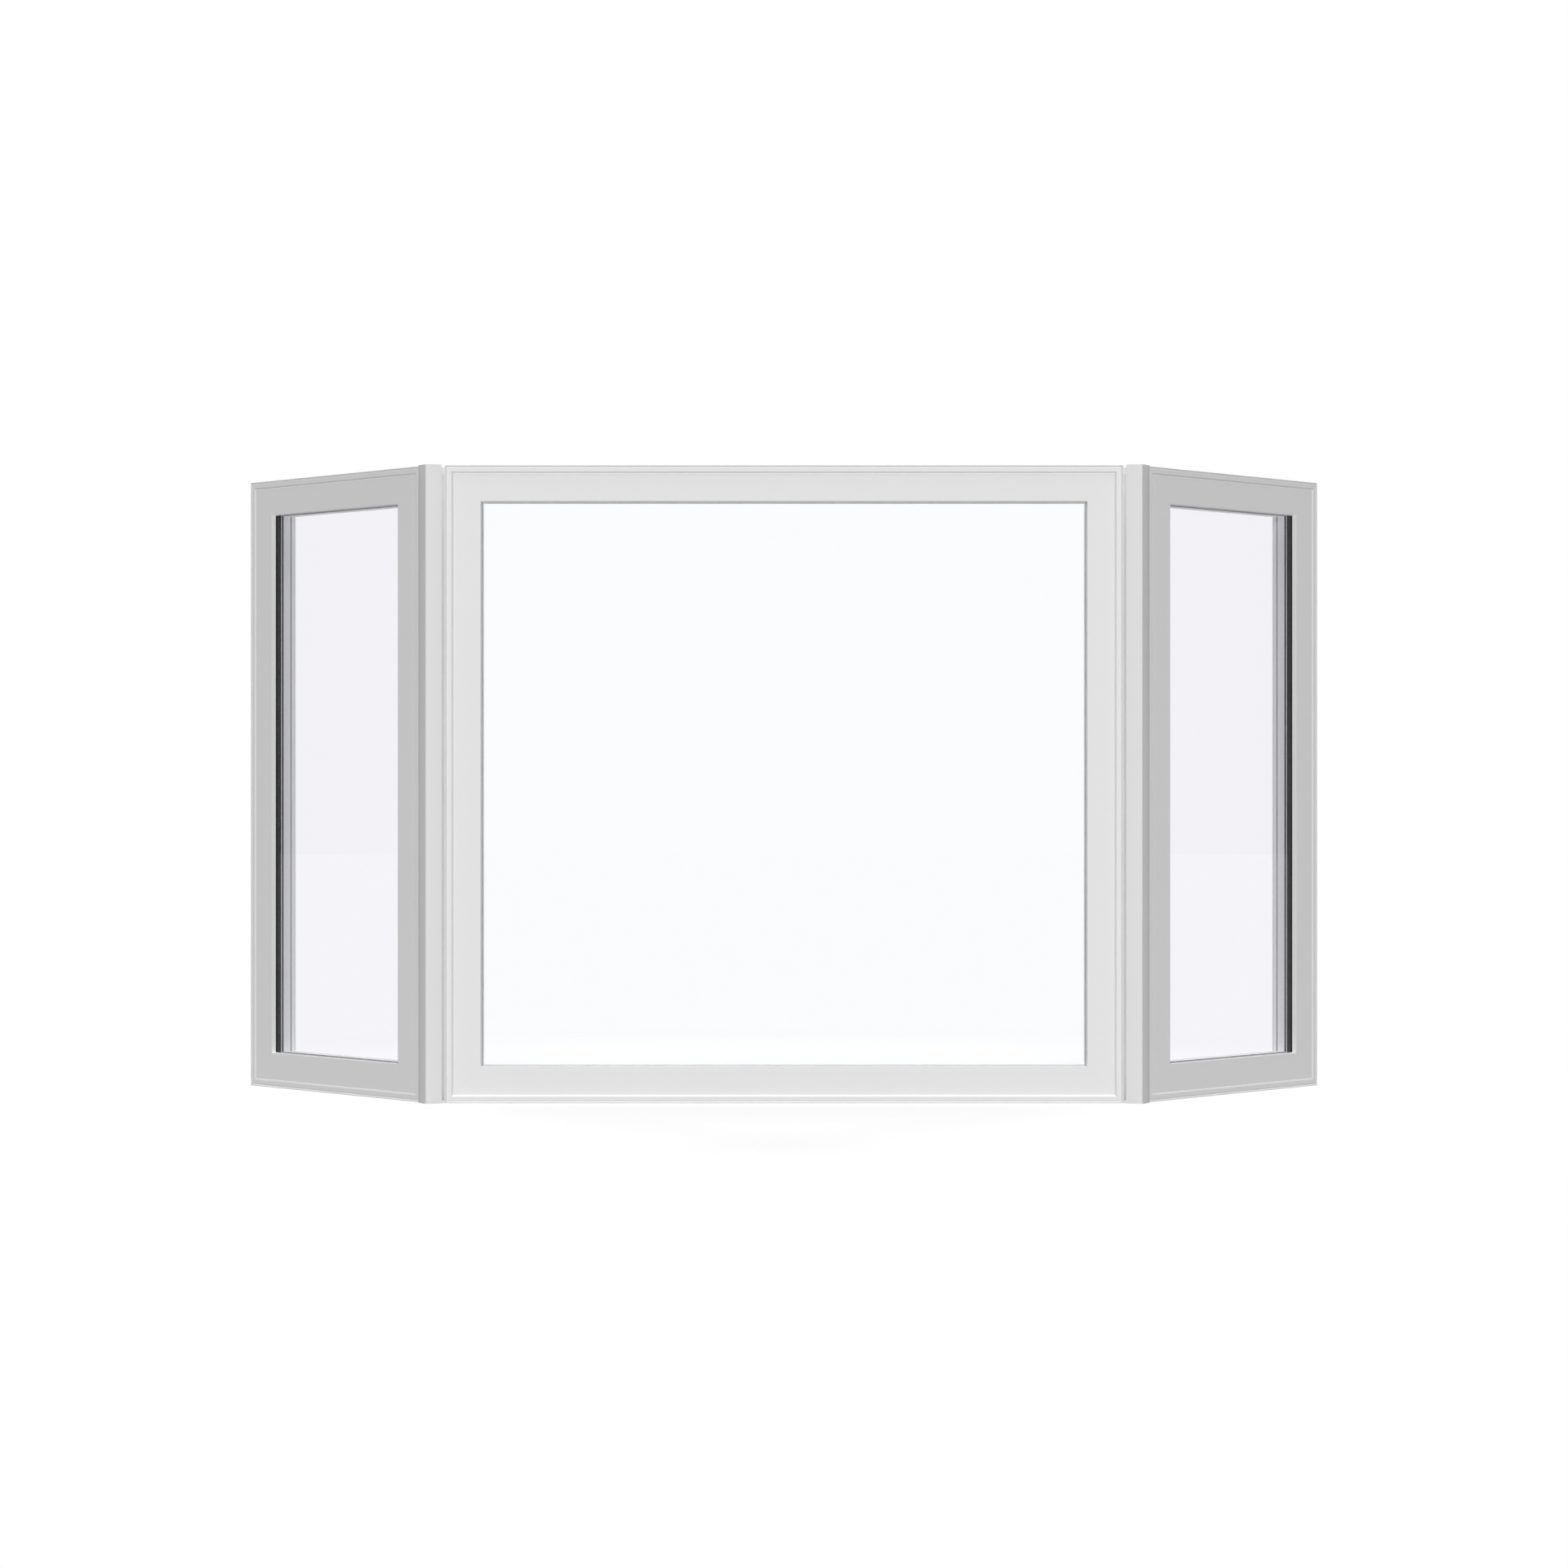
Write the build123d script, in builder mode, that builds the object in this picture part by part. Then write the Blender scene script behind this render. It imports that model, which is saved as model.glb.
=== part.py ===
"""Three-unit 45 degree bay window: a fixed centre unit and a casement flanker on each side.

Axes: +X to the right seen from outside, +Y into the building, +Z up. The origin is the middle of
the underside of the centre unit's sill. Unit profiles are drawn as (s, d): s is the distance in
from the unit's outer edge and d the depth behind the outside face of its frame.
"""
import os
from math import cos, hypot, radians, sin, tan

from build123d import *

os.makedirs("parts", exist_ok=True)

# Units
unit_height = 1500
centre_width = 1595
flanker_width = 664
frame_depth = 83
bay_angle = 45
corner_setback = 2.4  # the side planes of neighbouring units meet this far inside their frames

# Frame profile: edge bead and groove, outer band, bevel, sash pocket, inner stop
bead_side = 0.6
bead_start = 0.9
bead_end = 2.1
bead_proud = 0.8
groove_at = 3.7
groove_depth = 0.95
band_start = 6.1
band_end = 15.5
pocket_wall = 19.2
stop_edge = 86.3
stop_depth = 17
stop_rounding = 8
anchor_channel_at = 56
anchor_channel_width = 8
anchor_channel_depth = 2.5

# Sash profile and glazing
joint = 0.15
sash_chamfer_width = 0.5
sash_chamfer_depth = 0.3
sight_line = 84.7
reveal_slope = 1.5
shoulder_depth = 11.2
glazing_floor = 72
sash_back = 64
tape = 1
pane = 4
bead_at = 40.6
lip_edge = 85.5
glass_edge = glazing_floor + 2
seal_edge = glazing_floor + 3
bead_edge = sight_line + reveal_slope
bead_bevel = 2
mitre_joint = 0.15
weatherstrip_edges = (68, 84.5)
soft_edge = 0.3
stop_at = frame_depth - stop_depth

# Corner posts, drawn in (r, w): r outwards from the line where the side planes meet, w across
cover_ridge = 111.6
cover_edge = 90.1
cover_half_width = 31.1
cover_bow = 1.1
cover_wall = 2.8
nose_half_width = 12
nose_root = 80
nose_end = 98
clip_wall = 2
clip_end = 84
post_back = 46
post_clear_side = (-4, -12)
post_wall = 3
inner_leg = 32
inner_edge = 4
inner_bow = 3
inner_wall = 2
tongue_wall = 1.2
tongue_end = 14

# Crank operator: its section in (depth from the frame's inside face, height), and the handle
operator_offset = 131
operator_length = 150
operator_section = [(0, 20), (0, 66), (10, 66), (26, 46), (26, 24), (22, 20)]
operator_rounding = 2.5
operator_reach = 26
crank_offset = 165
crank_height = 35
crank_reach = 98
boss_radius = 9
boss_length = 10
arm_lift = 4
arm_thickness = 6
arm_root_half_width = 8
knob_radius = 5.5
knob_length = 18
knob_taper = 6
knob_rounding = 2.5

# Lock: its plate, and the lever's section in (depth from the frame's inside face, height)
lock_inset = 56
lock_height = 520
lock_plate_length = 150
lock_plate_width = 26
lock_plate_depth = 6
lock_plate_rounding = 1.5
lever_width = 14
lever_corner = 1.5
lever_rounding = 1.2
lever_section = [(5, 30), (18, 24), (27, -52), (24, -66), (17, -64), (16, -50), (12, -8), (5, -14)]


class Profile:
    """Sections and glass depths of one kind of unit."""

    def __init__(self, bevel_depth, sash_face, cavity, gasket_width):
        self.cavity = cavity
        self.gasket_width = gasket_width
        self.shoulder = sash_face + shoulder_depth
        self.outer_pane_at = self.shoulder + tape
        self.spacer_at = self.outer_pane_at + pane
        self.inner_pane_at = self.spacer_at + cavity
        self.gasket_at = self.inner_pane_at + pane
        self.frame = [
            (0, bead_side),
            (bead_start, -bead_proud),
            (bead_end, -bead_proud),
            (groove_at, groove_depth),
            (band_start, 0),
            (band_end, 0),
            (pocket_wall, bevel_depth),
            (pocket_wall, stop_at),
            (stop_edge, stop_at),
            (stop_edge, frame_depth - stop_rounding),
            (stop_edge - stop_rounding, frame_depth),
            (0, frame_depth),
            (0, anchor_channel_at + anchor_channel_width),
            (anchor_channel_depth, anchor_channel_at + anchor_channel_width),
            (anchor_channel_depth, anchor_channel_at),
            (0, anchor_channel_at),
        ]
        self.sash = [
            (pocket_wall + joint, sash_face + sash_chamfer_depth),
            (pocket_wall + joint + sash_chamfer_width, sash_face),
            (sight_line, sash_face),
            (bead_edge, self.shoulder),
            (glazing_floor, self.shoulder),
            (glazing_floor, sash_back),
            (pocket_wall + joint, sash_back),
        ]
        self.glazing_bead = [
            (glazing_floor, self.gasket_at),
            (lip_edge, self.gasket_at),
            (lip_edge, bead_at),
            (bead_edge, bead_at),
            (bead_edge, sash_back - bead_bevel),
            (bead_edge - bead_bevel, sash_back),
            (glazing_floor, sash_back),
        ]


centre_profile = Profile(bevel_depth=3.4, sash_face=4.4, cavity=12.5, gasket_width=0.25)
flanker_profile = Profile(bevel_depth=1.2, sash_face=1.1, cavity=14.5, gasket_width=0.7)


def save(piece, name):
    """Label a finished piece and write its STEP file."""
    piece.part.label = name
    export_step(piece.part, f"parts/{name}.step")


def outer_edges(unit, width):
    """A unit's four outer edges, clockwise from outside: start, way in, way along, length."""
    across = unit.x_dir
    up = unit.z_dir
    low_left = unit.from_local_coords(Vector(-width / 2, 0, 0))
    low_right = unit.from_local_coords(Vector(width / 2, 0, 0))
    return {
        "left": (low_left, across, up, unit_height),
        "top": (low_left + up * unit_height, -up, across, width),
        "right": (low_right + up * unit_height, -across, -up, unit_height),
        "bottom": (low_right, up, -across, width),
    }


def mitred_length(edge, section, gap=0.0):
    """A length of profile along one edge, with both ends cut at 45 degrees."""
    start, inward, along, length = edge
    with BuildPart() as member:
        with BuildSketch(Plane(origin=start, x_dir=inward, z_dir=along)) as profile:
            with BuildLine():
                Polyline(*section, close=True)
            make_face()
            fillet(profile.vertices(), radius=soft_edge)
        extrude(amount=length)
        split(bisect_by=Plane(origin=start + along * gap, z_dir=along - inward))
        split(bisect_by=Plane(origin=start + along * (length - gap), z_dir=-along - inward))
    return member


def ring(unit, width, outer, inner, depth, thickness):
    """A rectangular ring between two distances from the unit's edge."""
    middle = unit.from_local_coords(Vector(0, depth + thickness, unit_height / 2))
    with BuildPart() as band:
        with BuildSketch(Plane(origin=middle, x_dir=unit.x_dir, z_dir=-unit.y_dir)):
            Rectangle(width - 2 * outer, unit_height - 2 * outer)
            Rectangle(width - 2 * inner, unit_height - 2 * inner, mode=Mode.SUBTRACT)
        extrude(amount=thickness)
    return band


def make_unit(unit, width, profile, name):
    """Frame, sash, sealed glass, seals and glazing beads of one window unit."""
    edges = outer_edges(unit, width)
    frame_names = {"top": "head", "bottom": "sill", "left": "left_jamb", "right": "right_jamb"}
    sash_names = {"top": "top_rail", "bottom": "bottom_rail", "left": "left_stile", "right": "right_stile"}
    for side, edge in edges.items():
        save(mitred_length(edge, profile.frame), f"{name}_frame_{frame_names[side]}")
        save(mitred_length(edge, profile.sash), f"{name}_sash_{sash_names[side]}")

    with BuildPart() as beads:
        for edge in edges.values():
            add(mitred_length(edge, profile.glazing_bead, gap=mitre_joint).part)
    save(beads, f"{name}_glazing_beads")

    with BuildPart() as glass:
        for depth in (profile.outer_pane_at, profile.inner_pane_at):
            middle = unit.from_local_coords(Vector(0, depth + pane, unit_height / 2))
            with BuildSketch(Plane(origin=middle, x_dir=unit.x_dir, z_dir=-unit.y_dir)):
                Rectangle(width - 2 * glass_edge, unit_height - 2 * glass_edge)
            extrude(amount=pane)
    save(glass, f"{name}_glass")

    # Glazing tape, spacer bar, inside gasket lip and weatherstrip; the lip clears the bead's root
    gasket = bead_at - profile.gasket_at - soft_edge
    with BuildPart() as seals:
        add(ring(unit, width, seal_edge, bead_edge - soft_edge, profile.shoulder, tape).part)
        add(ring(unit, width, seal_edge, sight_line, profile.spacer_at, profile.cavity).part)
        add(ring(unit, width, lip_edge, lip_edge + profile.gasket_width, profile.gasket_at, gasket).part)
        add(ring(unit, width, *weatherstrip_edges, sash_back, stop_at - sash_back).part)
    save(seals, f"{name}_seals")


def make_corner(post, side, name):
    """Post in the wedge between two frames, with its outside cover and its inside cover strip."""
    half = radians(bay_angle / 2)

    # Outside cover: two gently bowed faces that meet in a ridge, with two clips behind
    fall = (cover_ridge - cover_edge) / cover_half_width
    face_length = hypot(cover_ridge - cover_edge, cover_half_width)
    wall_r = cover_wall * cover_half_width / face_length
    wall_w = cover_wall * (cover_ridge - cover_edge) / face_length
    clip_root = cover_ridge - nose_half_width * fall - cover_wall + cover_bow
    with BuildPart() as cover:
        with BuildSketch(post):
            with BuildLine():
                outer = SagittaArc((cover_ridge, 0), (cover_edge, cover_half_width), -cover_bow)
                inner = SagittaArc(
                    (cover_ridge - wall_r - wall_w * fall, 0),
                    (cover_edge - wall_r, cover_half_width - wall_w),
                    -cover_bow,
                )
                Line(outer @ 0, inner @ 0)
                Line(outer @ 1, inner @ 1)
            make_face()
            mirror(about=Plane.XZ)
            clip_w = nose_half_width + clip_wall / 2
            with Locations(((clip_end + clip_root) / 2, clip_w), ((clip_end + clip_root) / 2, -clip_w)):
                Rectangle(clip_root - clip_end, clip_wall)
        extrude(amount=unit_height)
    save(cover, f"{name}_mullion_cover")

    # Post: a hollow section that stands flat against the flanker's jamb and carries the cover
    with BuildPart() as body:
        with BuildSketch(post):
            with BuildLine():
                Polyline(
                    (post_back, side * post_clear_side[0]),
                    (post_back, side * post_back * tan(half)),
                    (nose_root, side * nose_root * tan(half)),
                    (nose_root, side * nose_half_width),
                    (nose_end, side * nose_half_width),
                    (nose_end, -side * nose_half_width),
                    (nose_root, side * post_clear_side[1]),
                    close=True,
                )
            make_face()
            offset(amount=-post_wall, kind=Kind.INTERSECTION, mode=Mode.SUBTRACT)
        extrude(amount=unit_height)
    save(body, f"{name}_mullion_post")

    # Inside cover strip: a hollow moulding with a bowed face and a tongue in the joint
    face_r = corner_setback / cos(half)
    leg_r = face_r - inner_leg * sin(half)
    leg_w = inner_leg * cos(half)
    back_r = leg_r - inner_edge
    with BuildPart() as strip:
        with BuildSketch(post):
            with BuildLine():
                Polyline((back_r, -leg_w), (leg_r, -leg_w), (face_r, 0), (leg_r, leg_w), (back_r, leg_w))
                ThreePointArc((back_r, leg_w), (back_r - inner_bow, 0), (back_r, -leg_w))
            make_face()
            offset(amount=-inner_wall, kind=Kind.INTERSECTION, mode=Mode.SUBTRACT)
            with Locations(((face_r - inner_wall + tongue_end) / 2, 0)):
                Rectangle(tongue_end - face_r + inner_wall, tongue_wall)
        extrude(amount=unit_height)
    save(strip, f"{name}_inner_cover")


def make_hardware(unit, side, name):
    """Crank operator, folding crank handle and lock lever on a casement's inside face."""
    along = unit.x_dir
    inward = unit.y_dir

    def side_plane(u, z):
        """A plane across the unit at u and z, with depth from the frame's inside face as its x."""
        return Plane(origin=unit.from_local_coords(Vector(u, frame_depth, z)), x_dir=inward, z_dir=along)

    # Operator housing, rounded on every edge that is clear of the frame
    with BuildPart() as operator:
        with BuildSketch(side_plane(side * operator_offset - operator_length / 2, 0)) as section:
            with BuildLine():
                Polyline(*operator_section, close=True)
            make_face()
        extrude(amount=operator_length)
        inside_face = Plane(origin=section.workplanes[0].origin, z_dir=inward)
        clear = [e for e in operator.edges() if inside_face.to_local_coords(e.center()).Z > soft_edge]
        fillet(clear, radius=operator_rounding)
    save(operator, f"{name}_crank_operator")

    # Crank handle: a spindle boss, an arm folded along the housing and a tapered knob
    boss = unit.from_local_coords(Vector(side * crank_offset, frame_depth + operator_reach, crank_height))
    arm = boss + inward * arm_lift
    knob = arm + inward * arm_thickness - along * (side * crank_reach)
    tip_u = -side * crank_reach
    with BuildPart() as crank:
        with BuildSketch(Plane(origin=boss, x_dir=along, z_dir=inward)):
            Circle(boss_radius)
        extrude(amount=boss_length)
        with BuildSketch(Plane(origin=arm, x_dir=along, z_dir=inward)):
            with BuildLine():
                Polyline(
                    (0, -arm_root_half_width),
                    (0, arm_root_half_width),
                    (tip_u, knob_radius),
                    (tip_u, -knob_radius),
                    close=True,
                )
            make_face()
            with Locations((tip_u, 0)):
                Circle(knob_radius)
        extrude(amount=arm_thickness)
        with BuildSketch(Plane(origin=knob, x_dir=along, z_dir=inward)):
            Circle(knob_radius)
        extrude(amount=knob_length, taper=-knob_taper)
        fillet(crank.faces().sort_by(Axis(boss, inward))[-1].edges(), radius=knob_rounding)
    save(crank, f"{name}_crank_handle")

    # Lock on the corner post side: a rounded plate with a curved lever folded down
    lock_u = -side * (flanker_width / 2 - lock_inset)
    middle = unit.from_local_coords(Vector(lock_u, frame_depth, lock_height))
    with BuildPart() as lock:
        with BuildSketch(Plane(origin=middle, x_dir=along, z_dir=inward)):
            SlotOverall(lock_plate_length, lock_plate_width, rotation=90)
        extrude(amount=lock_plate_depth)
        fillet(lock.faces().sort_by(Axis(middle, inward))[-1].edges(), radius=lock_plate_rounding)
        with BuildSketch(side_plane(lock_u - lever_width / 2, lock_height)) as section:
            with BuildLine():
                Polyline(*lever_section, close=True)
            make_face()
            fillet(section.vertices(), radius=lever_corner)
        lever = extrude(amount=lever_width)
        sides = lever.faces().sort_by(Axis(middle, along))
        fillet(sides[0].edges() + sides[-1].edges(), radius=lever_rounding)
    save(lock, f"{name}_lock_lever")


# The centre unit stands on the origin, and the flankers turn back from its corners
centre_unit = Plane(origin=(0, -frame_depth / 2, 0), x_dir=(1, 0, 0), z_dir=(0, 0, 1))
make_unit(centre_unit, centre_width, centre_profile, "centre")

turn = radians(bay_angle)
side_run = frame_depth + corner_setback
for side, word in ((-1, "left"), (1, "right")):
    apex = Vector(side * centre_width / 2, side_run - frame_depth / 2, 0)
    near_corner = apex + Vector(side * sin(turn), -cos(turn), 0) * side_run
    outward = Vector(side * cos(turn), sin(turn), 0)
    flanker = Plane(
        origin=near_corner + outward * (flanker_width / 2),
        x_dir=outward * side,
        z_dir=(0, 0, 1),
    )
    make_unit(flanker, flanker_width, flanker_profile, f"{word}_flanker")
    make_hardware(flanker, side, f"{word}_flanker")
    post = Plane(
        origin=apex,
        x_dir=(side * sin(turn / 2), -cos(turn / 2), 0),
        z_dir=(0, 0, 1),
    )
    make_corner(post, side, word)
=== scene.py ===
from math import cos, pi, radians, sin, sqrt

import bpy
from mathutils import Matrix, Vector


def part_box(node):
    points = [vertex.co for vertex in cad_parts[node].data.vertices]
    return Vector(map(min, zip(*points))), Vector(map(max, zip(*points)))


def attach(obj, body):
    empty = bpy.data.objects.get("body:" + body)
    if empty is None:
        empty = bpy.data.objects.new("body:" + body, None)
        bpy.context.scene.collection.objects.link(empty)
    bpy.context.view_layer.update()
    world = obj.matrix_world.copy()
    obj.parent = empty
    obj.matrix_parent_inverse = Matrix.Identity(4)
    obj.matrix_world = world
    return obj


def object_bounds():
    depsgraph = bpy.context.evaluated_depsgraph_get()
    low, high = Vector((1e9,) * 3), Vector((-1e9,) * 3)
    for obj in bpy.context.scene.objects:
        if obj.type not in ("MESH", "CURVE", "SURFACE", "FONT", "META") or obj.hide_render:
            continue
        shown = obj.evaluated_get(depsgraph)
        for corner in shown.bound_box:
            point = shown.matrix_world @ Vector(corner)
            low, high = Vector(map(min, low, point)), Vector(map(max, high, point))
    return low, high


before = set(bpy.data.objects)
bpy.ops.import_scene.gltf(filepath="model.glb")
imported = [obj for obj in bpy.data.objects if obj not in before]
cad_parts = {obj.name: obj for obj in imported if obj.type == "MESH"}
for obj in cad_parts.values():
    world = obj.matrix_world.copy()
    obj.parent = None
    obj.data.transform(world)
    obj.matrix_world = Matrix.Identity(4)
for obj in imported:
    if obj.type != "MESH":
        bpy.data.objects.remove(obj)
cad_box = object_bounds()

BAY_ANGLE = 45
MILLIMETRE = 0.001

# White vinyl: its shade, the lines from the die, the welded mitres and the painted shade in the outside
# groove
VINYL = 0.80
# Painted shade: the covers' vinyl is darker than the frames' so that their facets come out shaded
COVER_PAINTED_SHADE = 0.955
DIE_LINES_ACROSS = 550
DIE_LINES_ALONG = 0.8
MOTTLING_SCALE = 5.0
SKIN_SCALE = 900.0
VINYL_ROUGHNESS = 0.46
VINYL_RELIEF = 0.012 * MILLIMETRE
SEAM_FROM = 0.2 * MILLIMETRE
SEAM_TO = 0.7 * MILLIMETRE
SEAM_RELIEF = 2.0
SEAM_SHADE = 0.93
# Painted shade: how dark the outside groove is painted, standing in for the shade that falls in it
GROOVE_PAINTED_SHADE = 0.8
GROOVE_NEAR = (1.9 * MILLIMETRE, 2.5 * MILLIMETRE)
GROOVE_FAR = (4.4 * MILLIMETRE, 3.8 * MILLIMETRE)
OUTSIDE_FACE = -18 * MILLIMETRE
OUTSIDE_FADE = 5 * MILLIMETRE

# Glass, seals, aluminium and the coat on the hardware
GLASS_SHEEN = 0.1
CENTRE_GLASS = (0.978, 0.986, 0.991, 1)
# Glass tint plus painted shade: the flanker panes get a greyer tint than the centre pane, standing in for
# their darker look when turned
FLANKER_GLASS_TINT_AND_SHADE = (0.953, 0.953, 0.9755, 1)
GLASS_RELIEF = 0.01 * MILLIMETRE
FOAM_CELLS = 1600.0
SEAL_RELIEF = 0.3 * MILLIMETRE
DRAWN_LINES = (900, 900, 1.5)
ALUMINIUM_RELIEF = 0.02 * MILLIMETRE
COAT = 0.80
COAT_RIPPLE = 420.0
COAT_RELIEF = 0.03 * MILLIMETRE

# Vent holes in the spacer bar, and the screws with where they stand
VENT_PITCH = 8 * MILLIMETRE
VENT_ROW = 3 * MILLIMETRE
VENT_RADIUS = 0.5 * MILLIMETRE
VENT_EDGE = 0.3 * MILLIMETRE
SCREW_RADIUS = 3.6 * MILLIMETRE
SCREW_HEIGHT = 1.4 * MILLIMETRE
SCREW_RECESS = 0.8 * MILLIMETRE
LOCK_PLATE = 6 * MILLIMETRE
LOCK_SCREW_HEIGHTS = (0.458, 0.582)
OPERATOR_SCREW_SHIFT = 62 * MILLIMETRE
SLOPE_DEPTH = 18 * MILLIMETRE
SLOPE_HEIGHT = 56 * MILLIMETRE
SLOPE_RISE = 20
SLOPE_RUN = 16
SCREW_SEGMENTS = 40
SCREW_RINGS = 24
RECESS_SPAN = 1.1

# Floor, world, lamps and camera
AMBIENT = 0.01
REFLECTED_FRONT = 1.6
REFLECTED_SIDE = 0.2
REFLECTION_TURNS_FROM = 0.3
REFLECTION_TURNS_TO = 0.9
LAMP_DISTANCE = 10
FLOOR_SIZE = 60
FLOOR_DROP = -0.5 * MILLIMETRE
FLOOR_FADE_FROM = 1.0
FLOOR_FADE_TO = 2.4
FLOOR_WHITE_SHARE = 0.3
FLOOR_GLOW = 1.17
FLOOR_COLOUR = 0.95
FLOOR_BOUNCE = 0.05
VIEW_ANGLE = 25
CAMERA_DISTANCE = 8.3522
SENSOR_WIDTH = 36
FARTHEST_SEEN = 200

scene = bpy.context.scene


# ---------------------------------------------------------------- where each unit stands

class Unit:
    """A window unit's centre and axes: u across, d into the room, z up, from its glass."""

    def __init__(self, name, turn, width, height):
        low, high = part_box(f"{name}_glass")
        self.name = name
        self.turn = radians(turn)
        self.centre = (low + high) / 2
        self.half_width = width / 2
        self.half_height = height / 2
        self.across = Vector((cos(self.turn), sin(self.turn), 0))
        self.inward = Vector((-sin(self.turn), cos(self.turn), 0))

    def middle(self, node):
        """How far across the unit's axis a node's middle is, and how deep its outside begins."""
        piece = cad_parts[node]
        corners = [piece.matrix_world @ vertex.co for vertex in piece.data.vertices]
        widths = [self.across.dot(corner) for corner in corners]
        return (min(widths) + max(widths)) / 2, min(self.inward.dot(corner) for corner in corners)


def make_units():
    """The three units, with the flankers' width worked out from their turned glass."""
    head_low, head_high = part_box("centre_frame_head")
    sill_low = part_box("centre_frame_sill")[0]
    glass_low, glass_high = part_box("centre_glass")
    width = head_high.x - head_low.x
    height = head_high.z - sill_low.z
    edge_cover = width - (glass_high.x - glass_low.x)
    glass_depth = glass_high.y - glass_low.y
    turned_low, turned_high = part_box("left_flanker_glass")
    flanker_width = (turned_high.x - turned_low.x) * sqrt(2) - glass_depth + edge_cover
    return [
        Unit("centre", 0, width, height),
        Unit("left_flanker", -BAY_ANGLE, flanker_width, height),
        Unit("right_flanker", BAY_ANGLE, flanker_width, height),
    ]


# ---------------------------------------------------------------- shader expressions

class Field:
    """A node's output. Arithmetic on it adds the Math nodes that work it out."""

    def __init__(self, builder, socket):
        self.builder = builder
        self.socket = socket

    def math(self, operation, *operands):
        return self.builder.node("ShaderNodeMath", {"operation": operation}, dict(enumerate(operands)))

    def __add__(self, other):
        return self.math("ADD", self, other)

    def __sub__(self, other):
        return self.math("SUBTRACT", self, other)

    def __rsub__(self, other):
        return self.math("SUBTRACT", other, self)

    def __mul__(self, other):
        return self.math("MULTIPLY", self, other)

    def __abs__(self):
        return self.math("ABSOLUTE", self)

    __radd__ = __add__
    __rmul__ = __mul__

    def ramp(self, start, end):
        """0 up to start and 1 from end on, with a smooth rise between."""
        settings = {"interpolation_type": "SMOOTHSTEP"}
        limits = {"Value": self, "From Min": start, "From Max": end}
        return self.builder.node("ShaderNodeMapRange", settings, limits)

    def fraction(self):
        return self.math("FRACT", self)

    def larger(self, other):
        return self.math("MAXIMUM", self, other)


class Builder:
    """A node tree being built up node by node."""

    def __init__(self, tree):
        self.tree = tree

    def node(self, kind, settings=None, inputs=None, output=0):
        made = self.tree.nodes.new(kind)
        for name, value in (settings or {}).items():
            setattr(made, name, value)
        for name, value in (inputs or {}).items():
            if isinstance(value, Field):
                self.tree.links.new(value.socket, made.inputs[name])
            else:
                made.inputs[name].default_value = value
        return Field(self, made.outputs[output])


class Finish(Builder):
    """A material, or the world, being built up node by node."""

    def __init__(self, name, data=None):
        self.data = data or bpy.data.materials.new(name)
        self.data.use_nodes = True
        super().__init__(self.data.node_tree)
        self.tree.nodes.clear()

    def place(self, origin=(0, 0, 0), turn=0.0):
        """Object coordinates measured from an origin along turned axes."""
        where = self.node("ShaderNodeTexCoord", output="Object")
        inputs = {"Vector": where, "Location": origin, "Rotation": (0, 0, turn)}
        return self.node("ShaderNodeMapping", {"vector_type": "TEXTURE"}, inputs)

    def parts(self, vector):
        """A vector's three components."""
        split = self.node("ShaderNodeSeparateXYZ", inputs={"Vector": vector})
        return [Field(self, socket) for socket in split.socket.node.outputs]

    def stretched(self, vector, per_metre):
        """The vector with each axis scaled, so that a texture gets its size along it."""
        settings = {"operation": "MULTIPLY"}
        return self.node("ShaderNodeVectorMath", settings, {0: vector, 1: per_metre})

    def noise(self, vector, scale=1.0, detail=2.0):
        inputs = {"Vector": vector, "Scale": scale, "Detail": detail}
        return self.node("ShaderNodeTexNoise", inputs=inputs)

    def cells(self, vector, scale):
        return self.node("ShaderNodeTexVoronoi", inputs={"Vector": vector, "Scale": scale})

    def blend(self, factor, first, second):
        """A colour between two colours."""
        return self.node("ShaderNodeMix", {"data_type": "RGBA"}, {0: factor, 6: first, 7: second}, 2)

    def bump(self, height, distance):
        return self.node("ShaderNodeBump", inputs={"Height": height, "Distance": distance})

    def surface(self, **inputs):
        named = {name.replace("_", " "): value for name, value in inputs.items()}
        return self.node("ShaderNodeBsdfPrincipled", inputs=named)

    def end(self, shader, kind="ShaderNodeOutputMaterial"):
        made = self.tree.nodes.new(kind)
        self.tree.links.new(shader.socket, made.inputs["Surface"])
        return self.data


def grey(level, warmth=0.0):
    """An almost neutral colour; warmth lifts red and drops blue."""
    return (level * (1 + warmth), level, level * (1 - warmth), 1)


# ---------------------------------------------------------------- finishes

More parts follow.
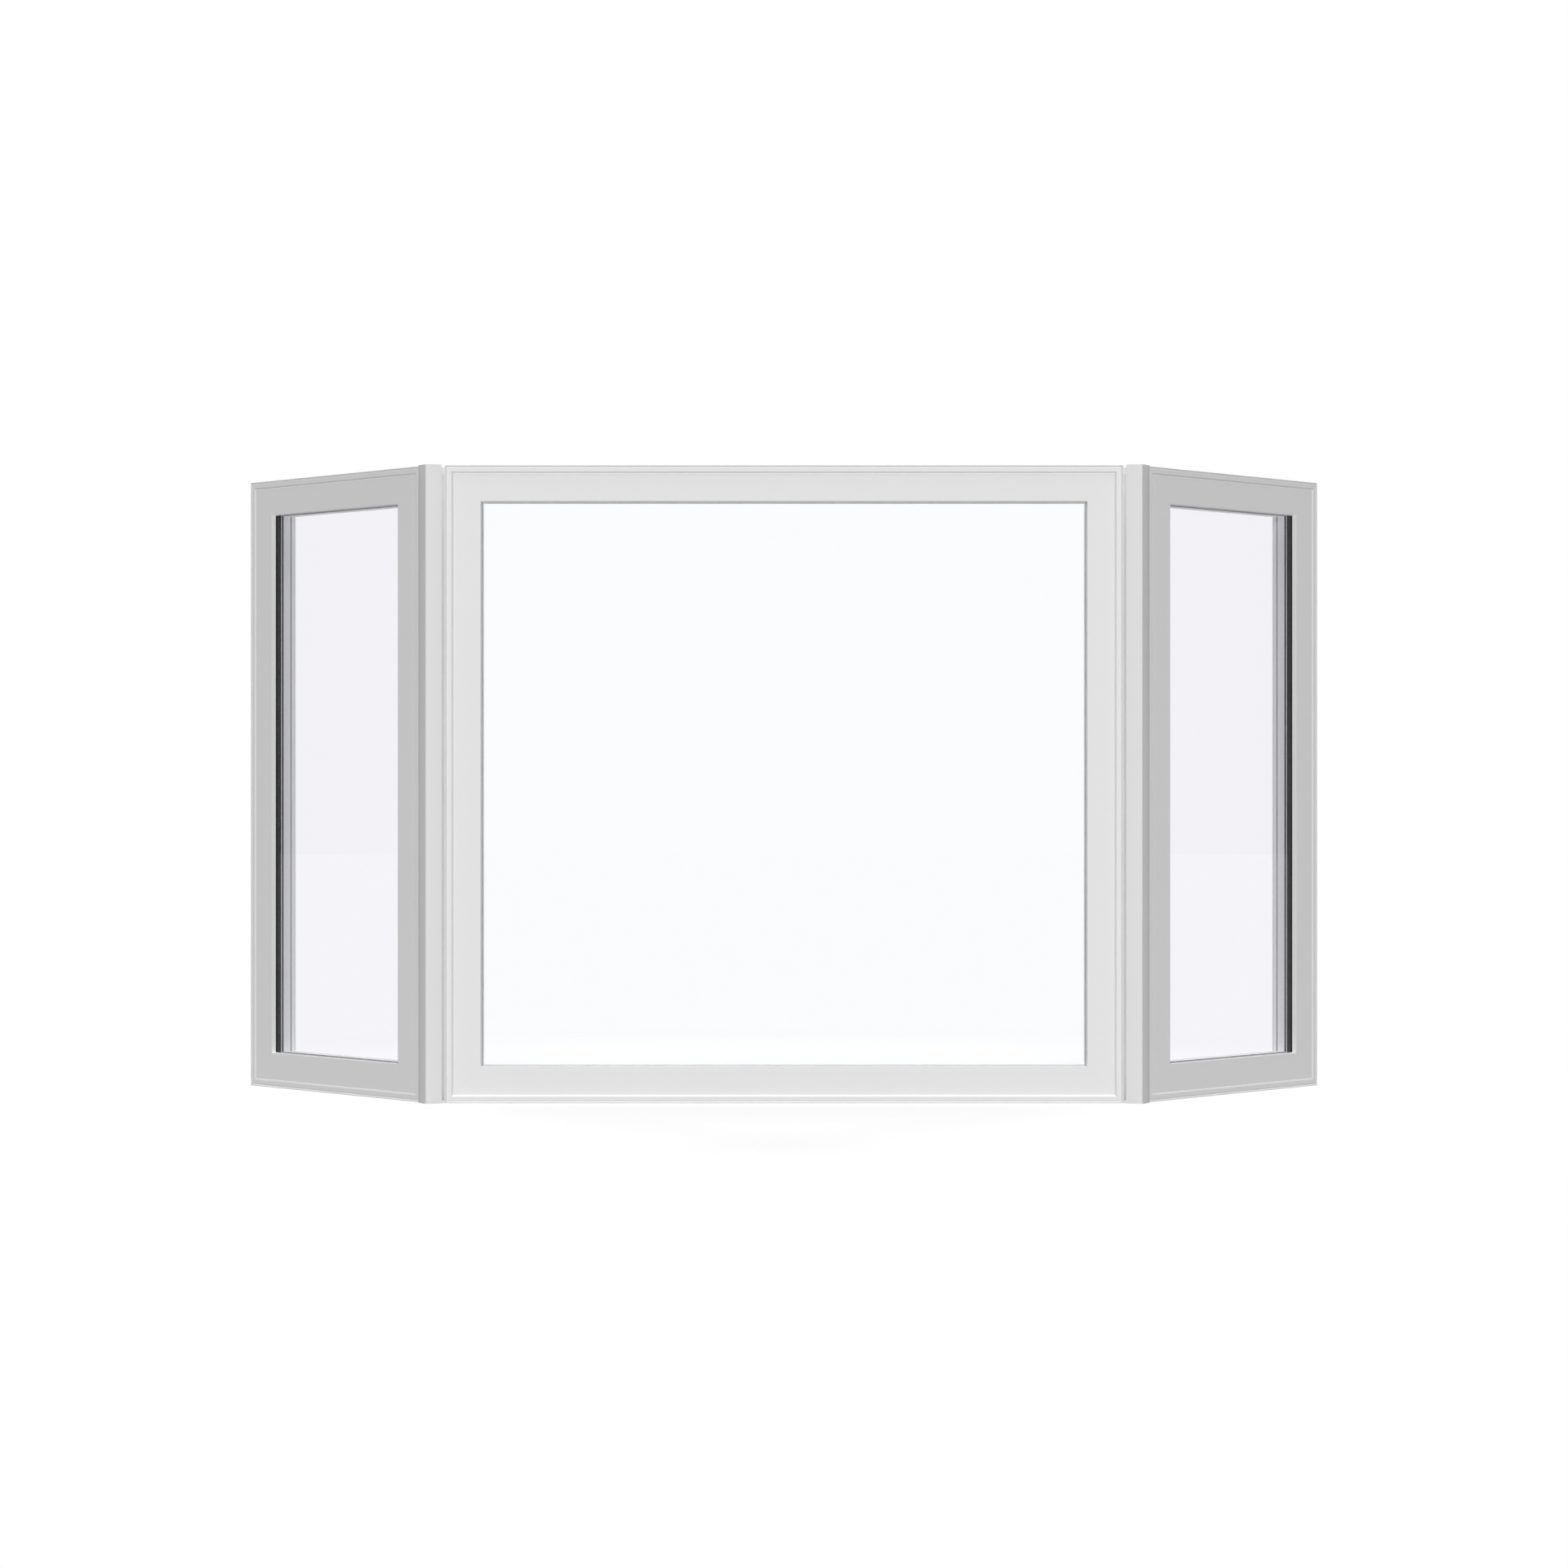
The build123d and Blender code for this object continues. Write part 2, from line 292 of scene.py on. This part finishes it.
def extruded_vinyl(name, level, origin, turn, upright, unit=None):
    """Satin white vinyl: die lines, mottling, a fine skin, welded mitres, painted shade in side and head
    grooves.
    """
    finish = Finish(name)
    local = finish.place(origin, turn)
    u, d, z = finish.parts(local)
    if upright:
        per_metre = (DIE_LINES_ACROSS, DIE_LINES_ACROSS, DIE_LINES_ALONG)
    else:
        per_metre = (DIE_LINES_ALONG, DIE_LINES_ACROSS, DIE_LINES_ACROSS)
    die_lines = finish.noise(finish.stretched(local, per_metre))
    mottling = finish.noise(local, scale=MOTTLING_SCALE, detail=3.0)
    skin = finish.noise(local, scale=SKIN_SCALE, detail=1.0)
    shade = (die_lines - 0.5) * 0.5 + (mottling - 0.5) * 0.6 + 0.5
    colour = finish.blend(shade, grey(level * 0.985, 0.002), grey(level * 1.015, -0.002))
    roughness = VINYL_ROUGHNESS + die_lines * 0.05 + mottling * 0.06
    height = die_lines * 0.5 + skin * 0.5
    if unit is not None:
        from_side = unit.half_width - abs(u)
        from_end = unit.half_height - abs(z)
        off_seam = abs(from_side - from_end).ramp(SEAM_FROM, SEAM_TO)
        height = height + off_seam * SEAM_RELIEF
        colour = finish.blend(off_seam, grey(level * SEAM_SHADE), colour)
        # Painted shade: the outside groove is darkened in colour to stand in for the shade that falls in it
        edge = from_side if upright else unit.half_height - z
        groove = edge.ramp(*GROOVE_NEAR) * edge.ramp(*GROOVE_FAR)
        dust_and_groove_shade = groove * d.ramp(OUTSIDE_FACE, OUTSIDE_FACE - OUTSIDE_FADE) * (0.6 + mottling * 0.8)
        colour = finish.blend(dust_and_groove_shade, colour, grey(level * GROOVE_PAINTED_SHADE, 0.01))
    normal = finish.bump(height, VINYL_RELIEF)
    shader = finish.surface(
        Base_Color=colour, Roughness=roughness, Normal=normal, IOR=1.53, Specular_IOR_Level=0.5
    )
    return finish.end(shader)


def window_glass(name, tint):
    """Clear float glass that lets lamp light through and has a faint wavy surface."""
    finish = Finish(name)
    where = finish.place()
    waviness = finish.noise(where, scale=4.0, detail=1.0)
    normal = finish.bump(waviness, GLASS_RELIEF)
    dust_and_groove_shade = finish.noise(where, scale=60.0, detail=4.0)
    colour = finish.blend(dust_and_groove_shade.ramp(0.35, 0.75), tint, tuple(c * 0.995 for c in tint[:3]) + (1,))
    pane = finish.surface(
        Base_Color=colour, Roughness=0.0, IOR=1.5, Transmission_Weight=1.0, Normal=normal,
        Specular_Tint=grey(GLASS_SHEEN)
    )
    open_air = finish.node("ShaderNodeBsdfTransparent", inputs={"Color": (1, 1, 1, 1)})
    shadow = finish.node("ShaderNodeLightPath", output="Is Shadow Ray")
    return finish.end(finish.node("ShaderNodeMixShader", inputs={0: shadow, 1: pane, 2: open_air}))


def black_seal(name, unit):
    """Black foam and rubber, with two rows of vent holes in the spacer bar between the panes."""
    finish = Finish(name)
    local = finish.place(unit.centre, unit.turn)
    u, d, z = finish.parts(local)
    foam = finish.cells(local, FOAM_CELLS)
    wear = finish.noise(local, scale=40.0, detail=3.0)
    along = (((u + z) * (1 / VENT_PITCH)).fraction() - 0.5) * VENT_PITCH
    across = abs(d) - VENT_ROW
    solid = (along * along + across * across).ramp(VENT_RADIUS ** 2, (VENT_RADIUS + VENT_EDGE) ** 2)
    colour = finish.blend(wear, grey(0.012), grey(0.02))
    # Painted shade: the vent holes are coloured darker than the bar to stand in for the shade inside them,
    # with a bump for their edges
    colour = finish.blend(solid, grey(0.004), colour)
    normal = finish.bump(foam * 0.2 + solid, SEAL_RELIEF)
    roughness = 0.7 + wear * 0.2
    shader = finish.surface(Base_Color=colour, Roughness=roughness, Normal=normal, IOR=1.3)
    return finish.end(shader)


def mill_aluminium(name, origin, turn):
    """Bare extruded aluminium with drawing lines along its length and a dull oxide bloom."""
    finish = Finish(name)
    local = finish.place(origin, turn)
    lines = finish.noise(finish.stretched(local, DRAWN_LINES), detail=3.0)
    bloom = finish.noise(local, scale=18.0, detail=4.0)
    colour = finish.blend(bloom, grey(0.55, 0.004), grey(0.68))
    normal = finish.bump(lines, ALUMINIUM_RELIEF)
    roughness = 0.3 + lines * 0.12 + bloom * 0.12
    shader = finish.surface(Base_Color=colour, Metallic=1.0, Roughness=roughness, Normal=normal)
    return finish.end(shader)


def powder_coat(name, level):
    """White powder coat with the fine ripple of a baked finish."""
    finish = Finish(name)
    where = finish.place()
    ripple = finish.noise(where, scale=COAT_RIPPLE, detail=1.0)
    shade = finish.noise(where, scale=30.0, detail=2.0)
    colour = finish.blend(shade, grey(level * 0.98), grey(level * 1.01))
    normal = finish.bump(ripple, COAT_RELIEF)
    shader = finish.surface(Base_Color=colour, Roughness=0.3 + shade * 0.1, Normal=normal, IOR=1.5)
    return finish.end(shader)


def paint(node, material):
    """Put one finish in every material slot of a CAD node."""
    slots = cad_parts[node].data.materials
    if not slots:
        slots.append(material)
    for index in range(len(slots)):
        slots[index] = material


units = make_units()
for unit in units:
    place = (unit.centre, unit.turn)
    upright = extruded_vinyl(f"{unit.name} vinyl upright", VINYL, *place, True, unit)
    level = extruded_vinyl(f"{unit.name} vinyl level", VINYL, *place, False, unit)
    for piece in ("frame_left_jamb", "frame_right_jamb", "sash_left_stile", "sash_right_stile"):
        paint(f"{unit.name}_{piece}", upright)
    for piece in ("frame_head", "frame_sill", "sash_top_rail", "sash_bottom_rail"):
        paint(f"{unit.name}_{piece}", level)
    paint(f"{unit.name}_glazing_beads", upright)
    paint(f"{unit.name}_seals", black_seal(f"{unit.name} seals", unit))

paint("centre_glass", window_glass("centre glass", CENTRE_GLASS))
# Painted shade: the flanker glass carries a greyer tint that stands in for the shade of the turned panes
flanker_glass = window_glass("flanker glass", FLANKER_GLASS_TINT_AND_SHADE)
coat = powder_coat("white hardware coat", COAT)
for side, turn in (("left", -1), ("right", 1)):
    paint(f"{side}_flanker_glass", flanker_glass)
    low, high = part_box(f"{side}_mullion_cover")
    place = ((low + high) / 2, radians(turn * BAY_ANGLE / 2))
    # Painted shade: the cover vinyl is made darker to stand in for the shade on the cover's facets
    cover = extruded_vinyl(f"{side} cover vinyl", VINYL * COVER_PAINTED_SHADE, *place, True)
    paint(f"{side}_mullion_cover", cover)
    paint(f"{side}_inner_cover", cover)
    paint(f"{side}_mullion_post", mill_aluminium(f"{side} post aluminium", *place))
    for piece in ("crank_operator", "crank_handle", "lock_lever"):
        paint(f"{side}_flanker_{piece}", coat)


# ---------------------------------------------------------------- screws

def screw_head_nodes(group):
    """Geometry nodes that put a domed cross-recess head on every point, along its own axis."""
    panel = group.interface
    panel.new_socket("Geometry", in_out="INPUT", socket_type="NodeSocketGeometry")
    for label in ("Radius", "Height", "Recess Width"):
        panel.new_socket(label, in_out="INPUT", socket_type="NodeSocketFloat")
    panel.new_socket("Seed", in_out="INPUT", socket_type="NodeSocketInt")
    panel.new_socket("Material", in_out="INPUT", socket_type="NodeSocketMaterial")
    panel.new_socket("Geometry", in_out="OUTPUT", socket_type="NodeSocketGeometry")
    build = Builder(group)
    given = {label: build.node("NodeGroupInput", output=label) for label in
             ("Geometry", "Radius", "Height", "Recess Width", "Seed", "Material")}
    radius, height, slot = given["Radius"], given["Height"], given["Recess Width"]

    def box_of(x, y, z):
        return build.node("ShaderNodeCombineXYZ", inputs={"X": x, "Y": y, "Z": z})

    sphere = {"Segments": SCREW_SEGMENTS, "Rings": SCREW_RINGS, "Radius": 1.0}
    ball = build.node("GeometryNodeMeshUVSphere", inputs=sphere)
    stretch = {"Geometry": ball, "Scale": box_of(radius, radius, height)}
    head = build.node("GeometryNodeTransform", inputs=stretch)
    length = radius * RECESS_SPAN
    for size in (box_of(length, slot, height), box_of(slot, length, height)):
        bar = build.node("GeometryNodeMeshCube", inputs={"Size": size})
        lifted = {"Geometry": bar, "Translation": box_of(0.0, 0.0, height)}
        bar = build.node("GeometryNodeTransform", inputs=lifted)
        head = build.node("GeometryNodeMeshBoolean", {"operation": "DIFFERENCE"}, {0: head, 1: bar})
    turn = build.node("FunctionNodeRandomValue", inputs={2: 0.0, 3: pi, "Seed": given["Seed"]}, output=1)
    axis = build.node("GeometryNodeInputNamedAttribute", {"data_type": "FLOAT_VECTOR"}, {"Name": "axis"})
    aimed = build.node("FunctionNodeAlignRotationToVector", {"axis": "Z"}, {"Vector": axis})
    spin = build.node("FunctionNodeAxisAngleToRotation", inputs={"Axis": (0, 0, 1), "Angle": turn})
    facing = {"Rotation": aimed, "Rotate By": spin}
    facing = build.node("FunctionNodeRotateRotation", {"rotation_space": "LOCAL"}, facing)
    spread = {"Points": given["Geometry"], "Instance": head, "Rotation": facing}
    placed = build.node("GeometryNodeInstanceOnPoints", inputs=spread)
    real = build.node("GeometryNodeRealizeInstances", inputs={"Geometry": placed})
    painted = {"Geometry": real, "Material": given["Material"]}
    painted = build.node("GeometryNodeSetMaterial", inputs=painted)
    result = group.nodes.new("NodeGroupOutput")
    group.links.new(painted.socket, result.inputs["Geometry"])


def make_screws(name, places, group, **settings):
    """One plain mesh with a screw head at every (point, axis)."""
    mesh = bpy.data.meshes.new(name)
    mesh.from_pydata([point for point, axis in places], [], [])
    axes = mesh.attributes.new("axis", "FLOAT_VECTOR", "POINT")
    axes.data.foreach_set("vector", [number for point, axis in places for number in axis])
    holder = bpy.data.objects.new(name, mesh)
    scene.collection.objects.link(holder)
    modifier = holder.modifiers.new("screw heads", "NODES")
    modifier.node_group = group
    for item in group.interface.items_tree:
        if item.name in settings and item.in_out == "INPUT":
            modifier[item.identifier] = settings[item.name]
    seen = holder.evaluated_get(bpy.context.evaluated_depsgraph_get())
    plain = bpy.data.meshes.new_from_object(seen)
    holder.modifiers.clear()
    holder.data = plain
    plain.name = name
    bpy.data.meshes.remove(mesh)
    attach(holder, "root")


screw_heads = bpy.data.node_groups.new("screw heads", "GeometryNodeTree")
screw_head_nodes(screw_heads)
for seed, unit in enumerate(units[1:]):
    places = []
    lock_u, lock_depth = unit.middle(f"{unit.name}_lock_lever")
    for height in LOCK_SCREW_HEIGHTS:
        point = unit.across * lock_u + unit.inward * (lock_depth + LOCK_PLATE)
        places.append((point + Vector((0, 0, height)), unit.inward))
    operator_u, operator_depth = unit.middle(f"{unit.name}_crank_operator")
    slope = (unit.inward * SLOPE_RISE + Vector((0, 0, SLOPE_RUN))).normalized()
    for shift in (-OPERATOR_SCREW_SHIFT, OPERATOR_SCREW_SHIFT):
        point = unit.across * (operator_u + shift) + unit.inward * (operator_depth + SLOPE_DEPTH)
        places.append((point + Vector((0, 0, SLOPE_HEIGHT)), slope))
    make_screws(
        f"{unit.name}_hardware_screws", places, screw_heads, Radius=SCREW_RADIUS, Height=SCREW_HEIGHT,
        **{"Recess Width": SCREW_RECESS, "Seed": seed, "Material": coat}
    )


# ---------------------------------------------------------------- floor, light and camera

def seen_rays(finish):
    """Whether a ray comes straight from the eye or through glass, and whether it is a reflection."""
    camera, glossy, through = [
        finish.node("ShaderNodeLightPath", output=f"Is {kind} Ray") for kind in
        ("Camera", "Glossy", "Transmission")
    ]
    unbounced = finish.node("ShaderNodeLightPath", output="Diffuse Depth").ramp(1.0, 0.0)
    return camera.larger(through) * unbounced, glossy * unbounced


def make_floor():
    """A wide pale floor that fades to plain white away from the window."""
    finish = Finish("studio floor")
    straight, mirrored = seen_rays(finish)
    seen = straight.larger(mirrored)
    where = finish.place()
    spread = finish.node("ShaderNodeVectorMath", {"operation": "LENGTH"}, {0: where}, output="Value")
    fade = spread.ramp(FLOOR_FADE_FROM, FLOOR_FADE_TO)
    white = (FLOOR_WHITE_SHARE + fade * (1 - FLOOR_WHITE_SHARE)) * seen
    colour = finish.blend(seen, grey(FLOOR_BOUNCE), grey(FLOOR_COLOUR))
    matte = finish.node("ShaderNodeBsdfDiffuse", inputs={"Color": colour})
    top_up = finish.blend(fade, grey(FLOOR_GLOW), grey(1.0))
    glow = finish.node("ShaderNodeEmission", inputs={"Color": top_up, "Strength": 1.0})
    material = finish.end(finish.node("ShaderNodeMixShader", inputs={0: white, 1: matte, 2: glow}))
    mesh = bpy.data.meshes.new("floor")
    half = FLOOR_SIZE / 2
    corners = [(x, y, FLOOR_DROP) for x, y in ((-half, -half), (half, -half), (half, half), (-half, half))]
    mesh.from_pydata(corners, [], [(0, 1, 2, 3)])
    mesh.materials.append(material)
    floor = bpy.data.objects.new("floor", mesh)
    scene.collection.objects.link(floor)


def make_world():
    """White where it is seen, dimmer at the sides in reflections, and a low even level as light."""
    world = bpy.data.worlds.new("studio")
    scene.world = world
    finish = Finish("studio", world)
    straight, mirrored = seen_rays(finish)
    sideways = finish.parts(finish.node("ShaderNodeTexCoord", output="Generated"))[0]
    to_the_side = abs(sideways).ramp(REFLECTION_TURNS_FROM, REFLECTION_TURNS_TO)
    reflection = REFLECTED_FRONT + to_the_side * (REFLECTED_SIDE - REFLECTED_FRONT)
    strength = AMBIENT + mirrored * (reflection - AMBIENT)
    strength = strength + straight * (1 - strength)
    glow = finish.node("ShaderNodeBackground", inputs={"Color": (1, 1, 1, 1), "Strength": strength})
    finish.end(glow, "ShaderNodeOutputWorld")


def add_sun(name, azimuth, elevation, spread, level, shadows=True):
    """A far lamp, never mirrored, that lights a face square to it at a level; azimuth 0 is the front."""
    lamp = bpy.data.lights.new(name, "SUN")
    lamp.angle = radians(spread)
    lamp.energy = level * pi / VINYL
    lamp.use_shadow = shadows
    holder = bpy.data.objects.new(name, lamp)
    flat = cos(radians(elevation))
    towards = Vector((flat * sin(radians(azimuth)), -flat * cos(radians(azimuth)), sin(radians(elevation))))
    holder.location = towards * LAMP_DISTANCE
    holder.rotation_euler = towards.to_track_quat("Z", "Y").to_euler()
    holder.visible_glossy = False
    holder.visible_transmission = False
    scene.collection.objects.link(holder)


def add_camera():
    """The viewpoint: level, square on to the centre unit and at half its height."""
    middle = (cad_box[0].z + cad_box[1].z) / 2
    camera = bpy.data.cameras.new("camera")
    camera.sensor_width = SENSOR_WIDTH
    camera.angle = radians(VIEW_ANGLE)
    camera.clip_end = FARTHEST_SEEN
    holder = bpy.data.objects.new("camera", camera)
    holder.location = (0, -CAMERA_DISTANCE, middle)
    holder.rotation_euler = (radians(90), 0, 0)
    scene.collection.objects.link(holder)
    scene.camera = holder


make_floor()
make_world()
add_sun("front lamp", 0, 10, 6, 0.22)
add_sun("front fill lamp", 0, 10, 6, 0.345, shadows=False)
add_sun("overhead lamp", 0, 87, 25, 0.3)
add_sun("high front lamp", 0, 65, 20, 0.19)
add_sun("high front fill lamp", 0, 65, 20, 0.15, shadows=False)
add_sun("floor fill lamp", 180, -60, 10, 0.5, shadows=False)
add_sun("left room lamp", -140, 6, 12, 0.34)
add_sun("right room lamp", 140, 6, 12, 0.34)
add_camera()
scene.view_settings.view_transform = "Standard"
